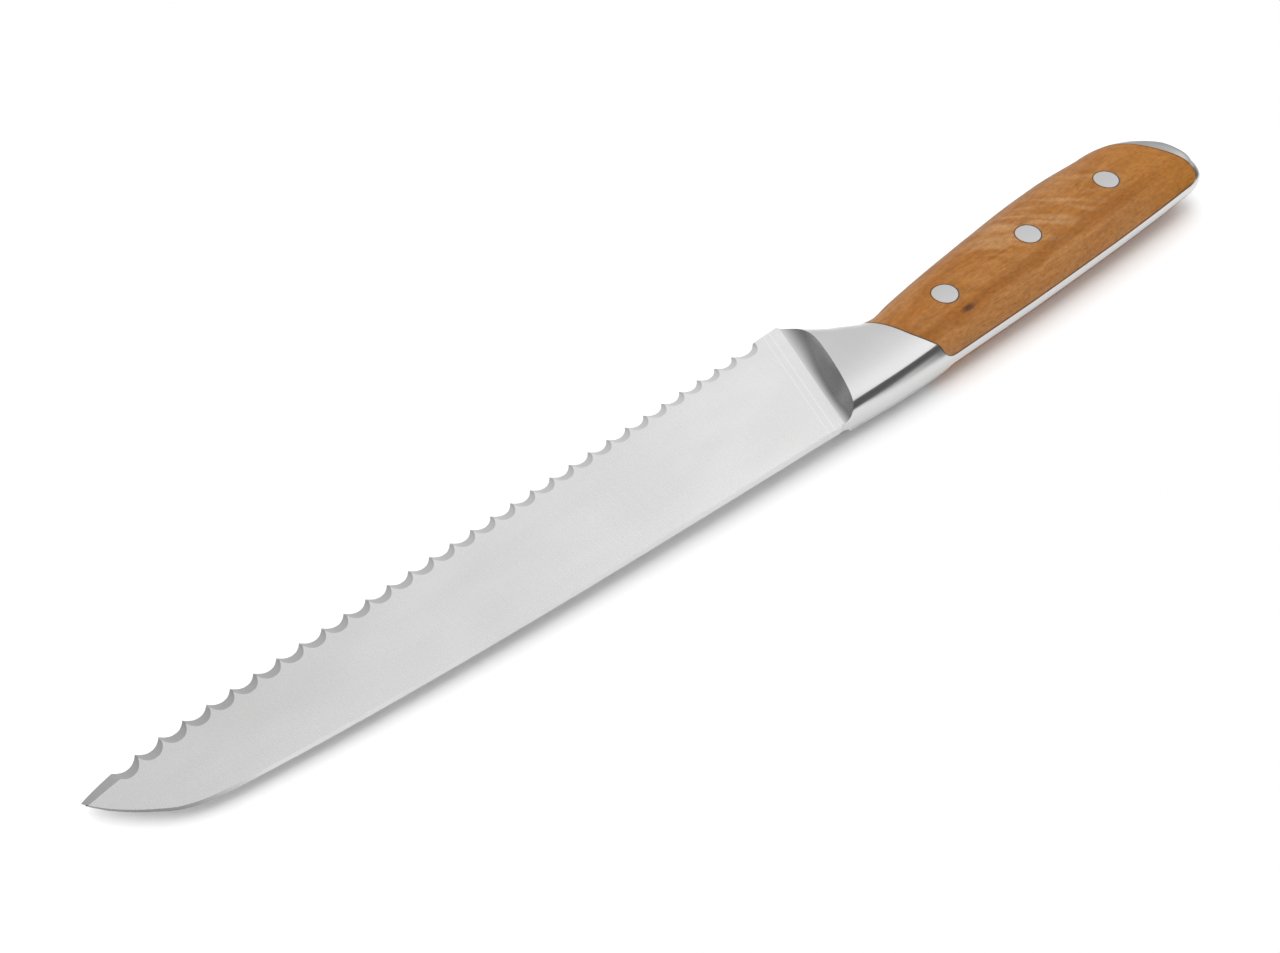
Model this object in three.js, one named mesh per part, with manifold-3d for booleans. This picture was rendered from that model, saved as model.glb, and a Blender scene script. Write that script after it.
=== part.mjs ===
// Serrated bread knife: one drop forging (blade, bolster, full tang and butt cap),
// two wooden handle scales bedded on the tang, and three two-piece cutler's rivets.
//
// Modelling frame, millimetres: X runs from the tip (-X) to the butt (+X) along the
// serrated edge, +Y is the edge side and -Y the spine side, Z is the thickness.
// The last step moves the origin to the bottom centre of the bounding box.
import * as THREE from "three";
import { mergeVertices } from "three/addons/utils/BufferGeometryUtils.js";
import Module from "manifold-3d";

// ---- blade ----------------------------------------------------------------------
const PITCH = 6.5;              // serration pitch
const SCALLOPS = 31;
const FIRST_CUSP = -100.75;     // X of the cusp nearest the tip
const SCALLOP_DEPTH = 1.9;      // cusp line to the bottom of a scallop
const CUSP_GRIND = 1.5;         // width of the ground bevel at a cusp
const GRIND_TIP = 4.6;          // cusp line to the inner end of the bevel, at the tip
const GRIND_HEEL = 4.0;         // the same at the heel
const PLAIN_GRIND = 3.0;        // bevel width on the plain edge between tip and serration
const SCALLOP_ROUNDNESS = 2.2;  // exponent of a scallop's edge; 2 would be a parabola
const CRESCENT_SHAPE = [2.4, 0.8];  // exponents of the bevel's inner end over a scallop
const SCALLOP_STEPS = 8;
const PLAIN_STEPS = 5;
const TIP = [-110, -3.6];
const TIP_GRIND = [-109.1, -5.4];  // inner end of the bevel at the tip
const LAST_CUSP = [102.1, -0.55];
const LAST_GRIND = [102.5, -0.85];
const HEEL = [110.8, -0.8];     // corner where the plain heel edge ends
const BLADE_ROOT = [[113, -4.3], [119, -16], [119, -37]];  // end of the blade, in the bolster
const TIP_DROOP = [-74, 7.5e-5];   // the cusps fall away ahead of this X, by its cube
const HEEL_DROOP = 0.0024;      // fall of the cusp line per mm behind X = 0
const EDGE_HALF = 0.40;         // half thickness just behind the edge, at BLADE_END
const DISTAL_TAPER = 0.0008;    // half thickness lost per mm towards the tip
const FACE_TAPER = 0.0235;      // half thickness gained per mm towards the spine
const BLADE_END = 96;           // X at which the free blade meets the bolster
const SPINE_STATIONS = 35;
const BLADE_SPINE = [
  [-110, -3.6], [-107.5, -7.7], [-103.5, -12.2], [-99, -16.2], [-94, -19.8],
  [-87, -22.3], [-75, -24.3], [-40, -28.6], [0, -32.4], [45, -35.8], [96, -39.3],
];

// ---- bolster and handle, as functions of the station X ---------------------------
const SPINE_LINE = [
  [90, -39.0], [101, -39.6], [110, -40.6], [120, -41.4], [130, -41.9], [150, -42.5],
  [175, -43.05], [205, -43.15], [225, -42.9], [242.5, -42.4],
];
const BELLY_LINE = [
  [90, 20.0], [110.8, -1.15], [115.2, -6.3], [118.4, -9.7], [121.8, -12.5],
  [126.5, -16.1], [131, -17.2], [137.5, -16.2], [156, -14.2], [176, -12.6],
  [196, -11.3], [208, -11.1], [225, -12.2],
];
// The cross-section goes from the spine up a leaning side, round a corner and over the
// crown to the belly. Heights are measured from the middle plane of the blade.
const SPINE_LEAN = [[98, 0.3], [110, 0.55], [130, 0.8], [145, 1.6], [160, 2.2], [250, 2.5]];
const SIDE_HALF = [[98, 3.3], [110, 3.6], [130, 4.0], [145, 4.9], [200, 5.2], [250, 4.2]];
const CORNER_WIDTH = [[98, 1.55], [110, 1.82], [130, 2.0], [145, 2.6], [160, 2.5], [250, 2.2]];
const SHOULDER = [[98, 5.2], [108, 5.9], [133, 6.8], [200, 7.2], [250, 5.4]];
const CROWN = [[98, 7.0], [133, 8.2], [190, 8.6], [225, 8.2], [250, 6.4]];
// Where across the width the crown peaks, and how full the belly side is (2 is an ellipse).
const PEAK_SHARE = [[98, 0.22], [112, 0.32], [118, 0.4], [127, 0.48], [133, 0.5], [250, 0.5]];
const FULLNESS = [[98, 1.6], [112, 1.6], [135, 2.0], [200, 2.2], [235, 2.6], [252, 3.0]];
const SIDE_SHARES = [0, 0.4, 0.7];                         // of the height of the side
const SIDE_POWER = 2.4;                                    // the side leans in as this power
const CORNER_SHARES = [0, 0.33, 0.67, 1];
const CORNER_PULL = 0.42;                                  // handle length per chord
const CREASE = 2;                                        // corner's slope per crown's slope
const CROWN_SHARES = [0.3, 0.6, 1];                        // corner to peak
const BELLY_ANGLES = [14, 28, 42, 54, 65, 75, 83];         // degrees from peak to belly
const FULL_WIDTH = 14;          // narrower sections shrink their corner in proportion
const BUTT_X = 252.5;           // end of the butt
const BUTT_Y = -37.2;           // Y at which the butt reaches furthest
const BUTT_BELLY_START = 225;   // the belly starts to curve into the butt
const BUTT_SPINE_START = 242.5;
const BUTT_POWER = 2.45;         // exponent of the superellipse that ends the handle
const BUTT_EDGE = 3.5;          // rounding of the butt end
const BUTT_FLAT = 0.03;         // the last section stops this much short of BUTT_X
const BODY_FRONT = 95;          // start of the bolster body, around the blade
const HANDLE_FRONT = 137.5;     // sections are close together ahead of this and past
const HANDLE_REAR = 230;        // this, and wide apart between

// ---- front ramp of the bolster: a concave fillet across the blade -----------------
const RAMP_X = 98.2;            // foot of the ramp at RAMP_Y
const RAMP_Y = -35.7;
const RAMP_SKEW = 0.367;        // X per Y along the foot line
const RAMP_RADIUS = [[-60, 3.3], [-37.5, 3.2], [-30, 2.6], [-22, 3.3], [-10, 5.4], [25, 5.5]];
const RAMP_SLOPE = 64;          // degrees, where the fillet ends and the ramp runs straight
const RAMP_RINGS = [-60, -37.5, -33.5, -30, -26, -22, -16, -10, 25];
const RAMP_SINK = 0.03;         // the ramp's foot lies this much under the blade face
const RAMP_STEPS = 7;
const CUTTER_REACH = 60;        // length of the cutter ahead of the foot
const CUTTER_FLOOR = -0.2;      // the cutter starts inside the blade, below its face

// ---- tang, scales and bond --------------------------------------------------------
const TANG_HALF = 1.55;         // half thickness of the tang between the scales
const POCKET_FILLET = 4.2;      // fillet between the tang and the ends of the pocket
const POCKET_DEPTH = 12;
const JOINT_GAP = 0.08;         // scale ends to forging
const BOND_GAP = 0.16;          // tang face to scale
const BOND_THICKNESS = 0.12;
const BOND_SLAB = [140, 60];    // larger than the tang, around HANDLE_MIDDLE
const HANDLE_MIDDLE = [188, -28];
const FRONT_JOINT = [
  [124.9, -2], [126.4, -18], [127.6, -25], [129.2, -31.6], [131.6, -37], [134.2, -42],
  [136.2, -48],
];
const REAR_JOINT = [
  [228, -2], [233.5, -10], [237.8, -16], [241.1, -20.8], [243.9, -26], [246.2, -31.5],
  [247.9, -37.2], [248.8, -48],
];

// ---- rivets -----------------------------------------------------------------------
const RIVETS = [["front", 148.3, -28.2], ["middle", 184.3, -27.8], ["rear", 220.3, -27.5]];
const HEAD_RADIUS = 3.67;
const BARREL_RADIUS = 2.4;
const PIN_RADIUS = 1.45;
const BORE_RADIUS = 1.5;
const HOLE_RADIUS = 2.5;
const HEAD_SEAT = 5.4;          // height of the counterbore floor above the middle plane
const BARREL_END = -4.9;        // the hollow barrel reaches down from the right head
const BORE_END = 3.0;           // blind end of the bore in the barrel
const PIN_END = 2.6;            // the solid pin reaches up from the left head
const FIT = 0.05;               // clearance around the rivets
const OUTSIDE = 12;             // a height well clear of the handle
const ROUND = 32;

// ---- finishes ---------------------------------------------------------------------
const STEEL = { color: 0xc9cbcc, roughness: 0.32, metalness: 1 };
const RIVET_STEEL = { color: 0xd3d6da, roughness: 0.28, metalness: 1 };
const WOOD = { color: 0xb06f30, roughness: 0.5, metalness: 0 };
const BOND = { color: 0x4b3826, roughness: 0.7, metalness: 0 };

const wasm = await Module();
wasm.setup();

// ---- helpers ----------------------------------------------------------------------
// A smooth function through a short table of [station, value] pairs.
function curveThrough(table) {
  const last = table.length - 1;
  const rise = (i) => (table[i + 1][1] - table[i][1]) / (table[i + 1][0] - table[i][0]);
  const slope = (i) => {
    if (i === 0) return rise(0);
    if (i === last) return rise(last - 1);
    const a = rise(i - 1), b = rise(i);
    return a * b > 0 ? (2 * a * b) / (a + b) : 0;
  };
  return (x) => {
    if (x <= table[0][0]) return table[0][1] + slope(0) * (x - table[0][0]);
    if (x >= table[last][0]) return table[last][1];
    let i = 0;
    while (x > table[i + 1][0]) i++;
    const span = table[i + 1][0] - table[i][0];
    const t = (x - table[i][0]) / span, s = 1 - t;
    return s * s * (1 + 2 * t) * table[i][1] + t * t * (3 - 2 * t) * table[i + 1][1]
      + span * t * s * (s * slope(i) - t * slope(i + 1));
  };
}

const range = (count, make) => Array.from({ length: count }, (_, i) => make(i));
const power = (base, exponent) => Math.pow(Math.max(base, 0), exponent);
const radians = THREE.MathUtils.degToRad;

function toSolid(geometry) {
  const bare = geometry.clone();
  bare.deleteAttribute("normal");
  bare.deleteAttribute("uv");
  const merged = mergeVertices(bare, 1e-5);
  return new wasm.Manifold(new wasm.Mesh({
    numProp: 3,
    vertProperties: new Float32Array(merged.attributes.position.array),
    triVerts: new Uint32Array(merged.index.array),
  }));
}

function toGeometry(solid) {
  const mesh = solid.getMesh();
  const geometry = new THREE.BufferGeometry();
  geometry.setAttribute("position", new THREE.BufferAttribute(mesh.vertProperties, 3));
  geometry.setIndex(new THREE.BufferAttribute(mesh.triVerts, 1));
  return geometry;
}

// A solid from points and triangles that are all wound the same way, in or out.
function closedSolid(points, faces) {
  const [a, b, c] = range(3, () => new THREE.Vector3());
  const volume = faces.reduce((sum, [i, j, k]) => sum
    + a.set(...points[i]).dot(b.set(...points[j]).cross(c.set(...points[k]))), 0);
  const outward = volume > 0 ? faces : faces.map(([i, j, k]) => [i, k, j]);
  const geometry = new THREE.BufferGeometry();
  geometry.setAttribute("position", new THREE.Float32BufferAttribute(points.flat(), 3));
  geometry.setIndex(outward.flat());
  return toSolid(geometry);
}

// Triangles of a flat outline, wound the same way as the outline itself.
function flatFaces(outline) {
  const points = outline.map((p) => new THREE.Vector2(...p));
  const faces = THREE.ShapeUtils.triangulateShape(points, []);
  return THREE.ShapeUtils.isClockWise(points) ? faces.map(([i, j, k]) => [i, k, j]) : faces;
}

// Skins a row of equal rings and closes both ends with flat caps.
function loft(rings, flatten) {
  const n = rings[0].length, end = (rings.length - 1) * n;
  const faces = [];
  for (let start = 0; start < end; start += n) {
    for (let i = 0; i < n; i++) {
      const a = start + i, b = start + ((i + 1) % n);
      faces.push([a, b, a + n], [b, b + n, a + n]);
    }
  }
  for (const [i, j, k] of flatFaces(rings[0].map(flatten))) faces.push([i, k, j]);
  for (const face of flatFaces(rings.at(-1).map(flatten))) faces.push(face.map((i) => end + i));
  return closedSolid(rings.flat(), faces);
}

// ---- blade ------------------------------------------------------------------------
const bladeSpine = curveThrough(BLADE_SPINE);

// Height of the blade's flat faces above and below the middle plane.
const faceHeight = (x, y) =>
  EDGE_HALF + DISTAL_TAPER * (x - BLADE_END) - FACE_TAPER * (y + 2);

function cusp(i) {
  if (i === SCALLOPS) return LAST_CUSP;
  const x = FIRST_CUSP + i * PITCH;
  const tipFall = TIP_DROOP[1] * Math.pow(Math.max(0, TIP_DROOP[0] - x), 3);
  return [x, -tipFall - HEEL_DROOP * Math.max(0, x)];
}

// Pairs of points along the edge: [edge on the back face, bevel end on the front face].
function plainEdge() {
  const start = cusp(0), tipGrind = TIP[1] - TIP_GRIND[1];
  return range(PLAIN_STEPS, (i) => {
    if (i === 0) return [TIP, TIP_GRIND];
    const t = i / PLAIN_STEPS, x = TIP[0] + (start[0] - TIP[0]) * t;
    const y = TIP[1] + (start[1] - TIP[1]) * (t + 0.3 * t * (1 - t));
    return [[x, y], [x, y - tipGrind - (PLAIN_GRIND - tipGrind) * Math.sqrt(t)]];
  });
}

function scallopEdge(i) {
  const [x0, y0] = cusp(i), [x1, y1] = cusp(i + 1);
  const grind = GRIND_TIP + (GRIND_HEEL - GRIND_TIP) * (i / SCALLOPS) - CUSP_GRIND;
  const [across, along] = CRESCENT_SHAPE;
  return range(SCALLOP_STEPS, (k) => {
    const u = k / SCALLOP_STEPS, v = Math.abs(2 * u - 1);
    const x = x0 + (x1 - x0) * u, line = y0 + (y1 - y0) * u;
    const edge = line - SCALLOP_DEPTH * (1 - power(v, SCALLOP_ROUNDNESS));
    let inner = line - CUSP_GRIND - grind * power(1 - power(v, across), along);
    if (i === 0 && u < 0.5) inner = Math.min(inner, line - PLAIN_GRIND);
    return [[x, edge], [x, inner]];
  });
}

const edgePairs = () => [
  ...plainEdge(), ...range(SCALLOPS, scallopEdge).flat(), [LAST_CUSP, LAST_GRIND], [HEEL, HEEL],
];

function bladeSolid() {
  const pairs = edgePairs();
  const spine = range(SPINE_STATIONS, (i) => {
    const x = BLADE_END - (BLADE_END - TIP_GRIND[0]) * power(i / SPINE_STATIONS, 0.8);
    return [x, bladeSpine(x)];
  });
  const shared = [...BLADE_ROOT, ...spine];
  const back = [...pairs.map((p) => p[0]), ...shared, TIP_GRIND];
  const front = [...pairs.map((p) => p[1]), ...shared];
  const points = [
    ...back.map(([x, y]) => [x, y, -faceHeight(x, y)]),
    ...front.map(([x, y]) => [x, y, faceHeight(x, y)]),
  ];
  const base = back.length, last = front.length - 1, below = back.length - 1;
  const faces = [
    ...flatFaces(back).map(([i, j, k]) => [i, k, j]),
    ...flatFaces(front).map((face) => face.map((i) => base + i)),
    [last, below, base + last], [below, base, base + last], [below, 0, base],
  ];
  for (let i = 0; i < last; i++) {
    faces.push([i, i + 1, base + i], [i + 1, base + i + 1, base + i]);
  }
  return closedSolid(points, faces);
}

// ---- bolster and handle body --------------------------------------------------------
const spineLine = curveThrough(SPINE_LINE);
const bellyLine = curveThrough(BELLY_LINE);
const spineLean = curveThrough(SPINE_LEAN);
const sideHalf = curveThrough(SIDE_HALF);
const cornerWidth = curveThrough(CORNER_WIDTH);
const rampRadius = curveThrough(RAMP_RADIUS);
const shoulder = curveThrough(SHOULDER);
const crown = curveThrough(CROWN);
const peakShare = curveThrough(PEAK_SHARE);
const fullness = curveThrough(FULLNESS);

// Follows an outline up to `start`, then a superellipse quadrant from there to the butt.
function intoButt(line, start, x) {
  if (x <= start) return line(x);
  const along = power((x - start) / (BUTT_X - start), BUTT_POWER);
  return BUTT_Y + (line(start) - BUTT_Y) * power(1 - along, 1 / BUTT_POWER);
}
const spineY = (x) => intoButt(spineLine, BUTT_SPINE_START, x);
const bellyY = (x) => intoButt(bellyLine, BUTT_BELLY_START, x);

// Upper half of the cross-section at X, from the spine round to the belly.
function upperSection(x) {
  const yS = spineY(x), yB = bellyY(x), width = yB - yS;
  const shrink = Math.min(1, width / FULL_WIDTH);
  const d = Math.max(0, x - (BUTT_X - BUTT_EDGE)) / BUTT_EDGE;
  const lift = Math.sqrt(Math.max(0, 1 - d * d));
  const top = crown(x) * lift, side = sideHalf(x) * lift, brow = shoulder(x) * lift;
  const lean = spineLean(x) * shrink, corner = cornerWidth(x) * shrink;
  const peak = yS + width * peakShare(x), n = fullness(x);
  const browY = yS + lean + corner;
  const points = SIDE_SHARES.map((s) => [yS + lean * power(s, SIDE_POWER), side * s]);
  const start = new THREE.Vector2(yS + lean, side), end = new THREE.Vector2(browY, brow);
  const pull = CORNER_PULL * start.distanceTo(end);
  const away = new THREE.Vector2(SIDE_POWER * lean, side).setLength(pull).add(start);
  const back = new THREE.Vector2(browY - peak, -2 * CREASE * (top - brow)).setLength(pull).add(end);
  const round = new THREE.CubicBezierCurve(start, away, back, end);
  points.push(...CORNER_SHARES.map((t) => round.getPoint(t).toArray()));
  for (const t of CROWN_SHARES) {
    points.push([browY + (peak - browY) * t, top - (top - brow) * (1 - t) * (1 - t)]);
  }
  for (const angle of BELLY_ANGLES.map(radians)) {
    const t = Math.sin(angle);
    points.push([peak + (yB - peak) * t, top * power(1 - power(t, n), 1 / n)]);
  }
  return [...points, [yB, 0]];
}

function handleRing(x) {
  const upper = upperSection(x);
  const lower = upper.slice(1, -1).reverse().map(([y, z]) => [y, -z]);
  return [...upper, ...lower].map(([y, z]) => [x, y, z]);
}

function handleBody() {
  const last = BUTT_X - BUTT_FLAT;
  const front = range(14, (i) => BODY_FRONT + (HANDLE_FRONT - BODY_FRONT) * i / 14);
  const middle = range(12, (i) => HANDLE_FRONT + (HANDLE_REAR - HANDLE_FRONT) * i / 12);
  const rear = range(13, (i) => last - (last - HANDLE_REAR) * power(1 - i / 12, 2));
  const rings = [...front, ...middle, ...rear].map(handleRing);
  return loft(rings, ([, y, z]) => [y, z]);
}

// Everything in front of the ramp, above the blade (side = 1) or below it (side = -1).
function rampCutter(side) {
  const ring = (y) => {
    const footX = RAMP_X + RAMP_SKEW * (y - RAMP_Y);
    const footZ = faceHeight(footX, y) - RAMP_SINK;
    const radius = rampRadius(y), skewed = Math.hypot(1, RAMP_SKEW);
    const slope = radians(RAMP_SLOPE), front = footX - CUTTER_REACH;
    const arc = range(RAMP_STEPS + 1, (i) => {
      const a = (i / RAMP_STEPS) * slope;
      return [footX + skewed * radius * Math.sin(a), footZ + radius * (1 - Math.cos(a))];
    });
    const [arcX, arcZ] = arc.at(-1);
    const topX = arcX + skewed * (OUTSIDE - arcZ) / Math.tan(slope);
    const profile = [[front, CUTTER_FLOOR], [footX - 0.02, CUTTER_FLOOR], ...arc,
      [topX, OUTSIDE], [front, OUTSIDE]];
    return profile.map(([x, z]) => [x, y, side * z]);
  };
  return loft(RAMP_RINGS.map(ring), ([x, , z]) => [x, z]);   // past the spine and the edge
}

// Plan area of a scale between the front and rear joints, run past the handle's sides.
function pocketTool(side, inset, lift) {
  const outline = [
    ...FRONT_JOINT.map(([x, y]) => [x + inset, y]),
    ...[...REAR_JOINT].reverse().map(([x, y]) => [x - inset, y]),
  ];
  const shape = new THREE.Shape(outline.map(([x, y]) => new THREE.Vector2(x, side * y)));
  const geometry = new THREE.ExtrudeGeometry(shape, {
    depth: POCKET_DEPTH, steps: 1, curveSegments: 1, bevelEnabled: true, bevelSegments: 4,
    bevelThickness: POCKET_FILLET, bevelSize: POCKET_FILLET, bevelOffset: -POCKET_FILLET,
  });
  geometry.translate(0, 0, TANG_HALF + lift + POCKET_FILLET);
  if (side < 0) geometry.rotateX(Math.PI);
  return toSolid(geometry);
}

// A turned solid around a rivet's axis, from a closed [radius, Z] profile.
function turned(profile, [, x, y]) {
  const lathe = new THREE.LatheGeometry(profile.map(([r, z]) => new THREE.Vector2(r, z)), ROUND);
  lathe.rotateX(Math.PI / 2);
  lathe.translate(x, y, 0);
  return toSolid(lathe);
}
const disc = (radius, z0, z1, rivet) => {
  const [low, high] = [Math.min(z0, z1), Math.max(z0, z1)];
  return turned([[0, low], [radius, low], [radius, high], [0, high]], rivet);
};

// ---- assembly -----------------------------------------------------------------------
const body = handleBody();
const group = new THREE.Group();

function addPiece(name, solid, material) {
  const mesh = new THREE.Mesh(toGeometry(solid), new THREE.MeshStandardMaterial(material));
  mesh.name = name;
  group.add(mesh);
}

const holes = RIVETS.map((rivet) => disc(HOLE_RADIUS, -OUTSIDE, OUTSIDE, rivet));
const cutAll = (solid, tools) => tools.reduce((rest, tool) => rest.subtract(tool), solid);

function forging() {
  const bolsterToButt = cutAll(body,
    [rampCutter(1), rampCutter(-1), pocketTool(1, 0, 0), pocketTool(-1, 0, 0)]);
  return cutAll(bolsterToButt.add(bladeSolid()), holes);
}

// One scale: the handle body between the joints, bored and counterbored for the rivets.
function scale(side) {
  const counterbores = RIVETS.map((rivet) =>
    disc(HEAD_RADIUS + FIT, side * (HEAD_SEAT - FIT), side * OUTSIDE, rivet));
  return cutAll(body.intersect(pocketTool(side, JOINT_GAP, BOND_GAP)), [...holes, ...counterbores]);
}

// The bond is the thin layer left between the tang face and the scale.
function bond(side) {
  const under = pocketTool(side, JOINT_GAP, (BOND_GAP - BOND_THICKNESS) / 2);
  const over = pocketTool(side, JOINT_GAP, (BOND_GAP + BOND_THICKNESS) / 2);
  const slab = new THREE.BoxGeometry(...BOND_SLAB, BOND_THICKNESS);
  slab.translate(...HANDLE_MIDDLE, side * (TANG_HALF + BOND_GAP / 2));
  return cutAll(body.intersect(under).subtract(over).intersect(toSolid(slab)), holes);
}

// Female half: flush head with a hollow barrel. Male half: flush head with a solid pin.
const femaleRivet = (rivet) => body.intersect(turned([
  [0, BORE_END], [BORE_RADIUS, BORE_END], [BORE_RADIUS, BARREL_END], [BARREL_RADIUS, BARREL_END],
  [BARREL_RADIUS, HEAD_SEAT], [HEAD_RADIUS, HEAD_SEAT], [HEAD_RADIUS, OUTSIDE], [0, OUTSIDE],
], rivet));
const maleRivet = (rivet) => body.intersect(turned([
  [0, -OUTSIDE], [HEAD_RADIUS, -OUTSIDE], [HEAD_RADIUS, -HEAD_SEAT], [PIN_RADIUS, -HEAD_SEAT],
  [PIN_RADIUS, PIN_END], [0, PIN_END],
], rivet));

addPiece("blade_forging", forging(), STEEL);
addPiece("scale_right", scale(1), WOOD);
addPiece("scale_left", scale(-1), WOOD);
addPiece("bond_right", bond(1), BOND);
addPiece("bond_left", bond(-1), BOND);
for (const rivet of RIVETS) {
  addPiece(`rivet_${rivet[0]}_female`, femaleRivet(rivet), RIVET_STEEL);
  addPiece(`rivet_${rivet[0]}_male`, maleRivet(rivet), RIVET_STEEL);
}

const box = new THREE.Box3().setFromObject(group);
for (const mesh of group.children) {
  mesh.geometry.translate(
    -(box.min.x + box.max.x) / 2, -(box.min.y + box.max.y) / 2, -box.min.z);
}

export default group;
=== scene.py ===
"""Looks of the bread knife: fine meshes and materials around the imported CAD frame.

Outlines are in millimetres in the knife's drawing frame: X from the tip to the butt along
the cusps, Y = 0 on the line of cusps with the spine at -Y, and Z = 0 in the middle plane
of the blade. place() takes them into the row frame, in metres.
"""

import math

import bmesh
import bpy
import numpy as np
from mathutils import Matrix, Vector
from mathutils.bvhtree import BVHTree


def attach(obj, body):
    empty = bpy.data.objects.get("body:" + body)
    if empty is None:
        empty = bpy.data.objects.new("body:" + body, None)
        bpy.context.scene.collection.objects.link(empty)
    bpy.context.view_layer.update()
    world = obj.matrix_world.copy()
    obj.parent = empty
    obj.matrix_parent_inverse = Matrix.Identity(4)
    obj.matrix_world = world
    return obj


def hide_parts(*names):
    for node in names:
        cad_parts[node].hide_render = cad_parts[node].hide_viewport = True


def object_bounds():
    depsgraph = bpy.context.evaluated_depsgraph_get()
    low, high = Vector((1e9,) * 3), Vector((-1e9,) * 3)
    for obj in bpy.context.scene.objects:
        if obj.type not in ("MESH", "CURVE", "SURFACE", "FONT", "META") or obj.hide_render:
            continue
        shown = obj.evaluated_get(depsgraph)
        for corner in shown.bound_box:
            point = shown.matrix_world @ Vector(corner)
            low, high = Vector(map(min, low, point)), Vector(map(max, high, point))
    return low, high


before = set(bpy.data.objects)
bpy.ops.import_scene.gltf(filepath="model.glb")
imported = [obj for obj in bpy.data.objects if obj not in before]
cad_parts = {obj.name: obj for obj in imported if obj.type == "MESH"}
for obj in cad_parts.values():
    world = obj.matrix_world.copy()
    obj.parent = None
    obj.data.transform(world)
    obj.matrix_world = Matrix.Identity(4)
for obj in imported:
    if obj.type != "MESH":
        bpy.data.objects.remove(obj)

CAD_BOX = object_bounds()
MM = 0.001

# ---- blade ------------------------------------------------------------------------
PITCH = 6.5
SCALLOPS = 31
FIRST_CUSP = -100.75
SCALLOP_DEPTH = 1.9
SCALLOP_ROUNDNESS = 2.2
CRESCENT_SHAPE = (2.4, 0.8)
CUSP_GRIND = 1.5
GRIND_TIP = 4.6
GRIND_HEEL = 4.0
PLAIN_GRIND = 3.0
SCALLOP_STEPS = 20
PLAIN_STEPS = 16
BEVEL_LEAN = 0.4                # evens out the shine round a scallop
TIP = (-110, -3.6)
TIP_GRIND = (-109.1, -5.4)
LAST_CUSP = (102.1, -0.55)
LAST_GRIND = (102.5, -0.85)
HEEL = (110.8, -0.8)
BLADE_ROOT = [(113, -4.3), (119, -16), (119, -37)]
TIP_DROOP = (-74, 7.5e-5)
HEEL_DROOP = 0.0024
EDGE_HALF = 0.40
DISTAL_TAPER = 0.0008
FACE_TAPER = 0.0235
BLADE_END = 96
SPINE_STATIONS = 150
SPINE_CROWDING = 0.8            # below 1, the stations stand closer together at the tip
FACE_CUTS = 8                   # the wide faces are cut across this often
BLADE_SPINE = [
    (-110, -3.6), (-107.5, -7.7), (-103.5, -12.2), (-99, -16.2), (-94, -19.8),
    (-87, -22.3), (-75, -24.3), (-40, -28.6), (0, -32.4), (45, -35.8), (96, -39.3),
]

# ---- bolster and handle ---------------------------------------------------------------
SPINE_LINE = [
    (90, -39.0), (101, -39.6), (110, -40.6), (120, -41.4), (130, -41.9), (150, -42.5),
    (175, -43.05), (205, -43.15), (225, -42.9), (242.5, -42.4),
]
BELLY_LINE = [
    (90, 20.0), (110.8, -1.15), (115.2, -6.3), (118.4, -9.7), (121.8, -12.5),
    (126.5, -16.1), (131, -17.2), (137.5, -16.2), (156, -14.2), (176, -12.6),
    (196, -11.3), (208, -11.1), (225, -12.2),
]
SPINE_LEAN = [(98, 0.3), (110, 0.55), (130, 0.8), (145, 1.6), (160, 2.2), (250, 2.5)]
SIDE_HALF = [(98, 3.3), (110, 3.6), (130, 4.0), (145, 4.9), (200, 5.2), (250, 4.2)]
CORNER_WIDTH = [(98, 1.55), (110, 1.82), (130, 2.0), (145, 2.6), (160, 2.5), (250, 2.2)]
SHOULDER = [(98, 5.2), (108, 5.9), (133, 6.8), (200, 7.2), (250, 5.4)]
CROWN = [(98, 7.0), (133, 8.2), (190, 8.6), (225, 8.2), (250, 6.4)]
PEAK_SHARE = [(98, 0.22), (112, 0.32), (118, 0.4), (127, 0.48), (133, 0.5), (250, 0.5)]
FULLNESS = [(98, 1.6), (112, 1.6), (135, 2.0), (200, 2.2), (235, 2.6), (252, 3.0)]
FULL_WIDTH = 14
SIDE_STEPS, CORNER_STEPS, CROWN_STEPS, BELLY_STEPS = 6, 9, 9, 20
CORNER_PULL = 0.42
CREASE = 2.0                    # the corner's slope per the crown's slope where they meet
SIDE_POWER = 2.4
BODY_STATIONS = 150
BUTT_STATIONS = 40
BUTT_X = 252.5
BUTT_Y = -37.2
BUTT_BELLY_START = 225
BUTT_SPINE_START = 242.5
BUTT_POWER = 2.45
BUTT_EDGE = 3.5
BUTT_FLAT = 0.03
BODY_FRONT = 95
HANDLE_REAR = 230

# ---- front ramp of the bolster ----------------------------------------------------------
RAMP_X = 98.2
RAMP_Y = -35.7
RAMP_SKEW = 0.367
RAMP_RADIUS = [(-60, 3.3), (-37.5, 3.2), (-30, 2.6), (-22, 3.3), (-10, 5.4), (25, 5.5)]
RAMP_SLOPE = math.radians(64)   # where the fillet ends and the ramp runs straight
RAMP_SINK = 0.03
RAMP_STEPS = 28
RAMP_ROWS = 60
RAMP_ACROSS = (-60, 25)         # how far the cutter reaches across the knife
RAMP_AHEAD = 60                 # and ahead of the ramp's foot
RAMP_FLOOR = -0.2               # its underside, buried in the blade
RAMP_LIP = 0.02

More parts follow.
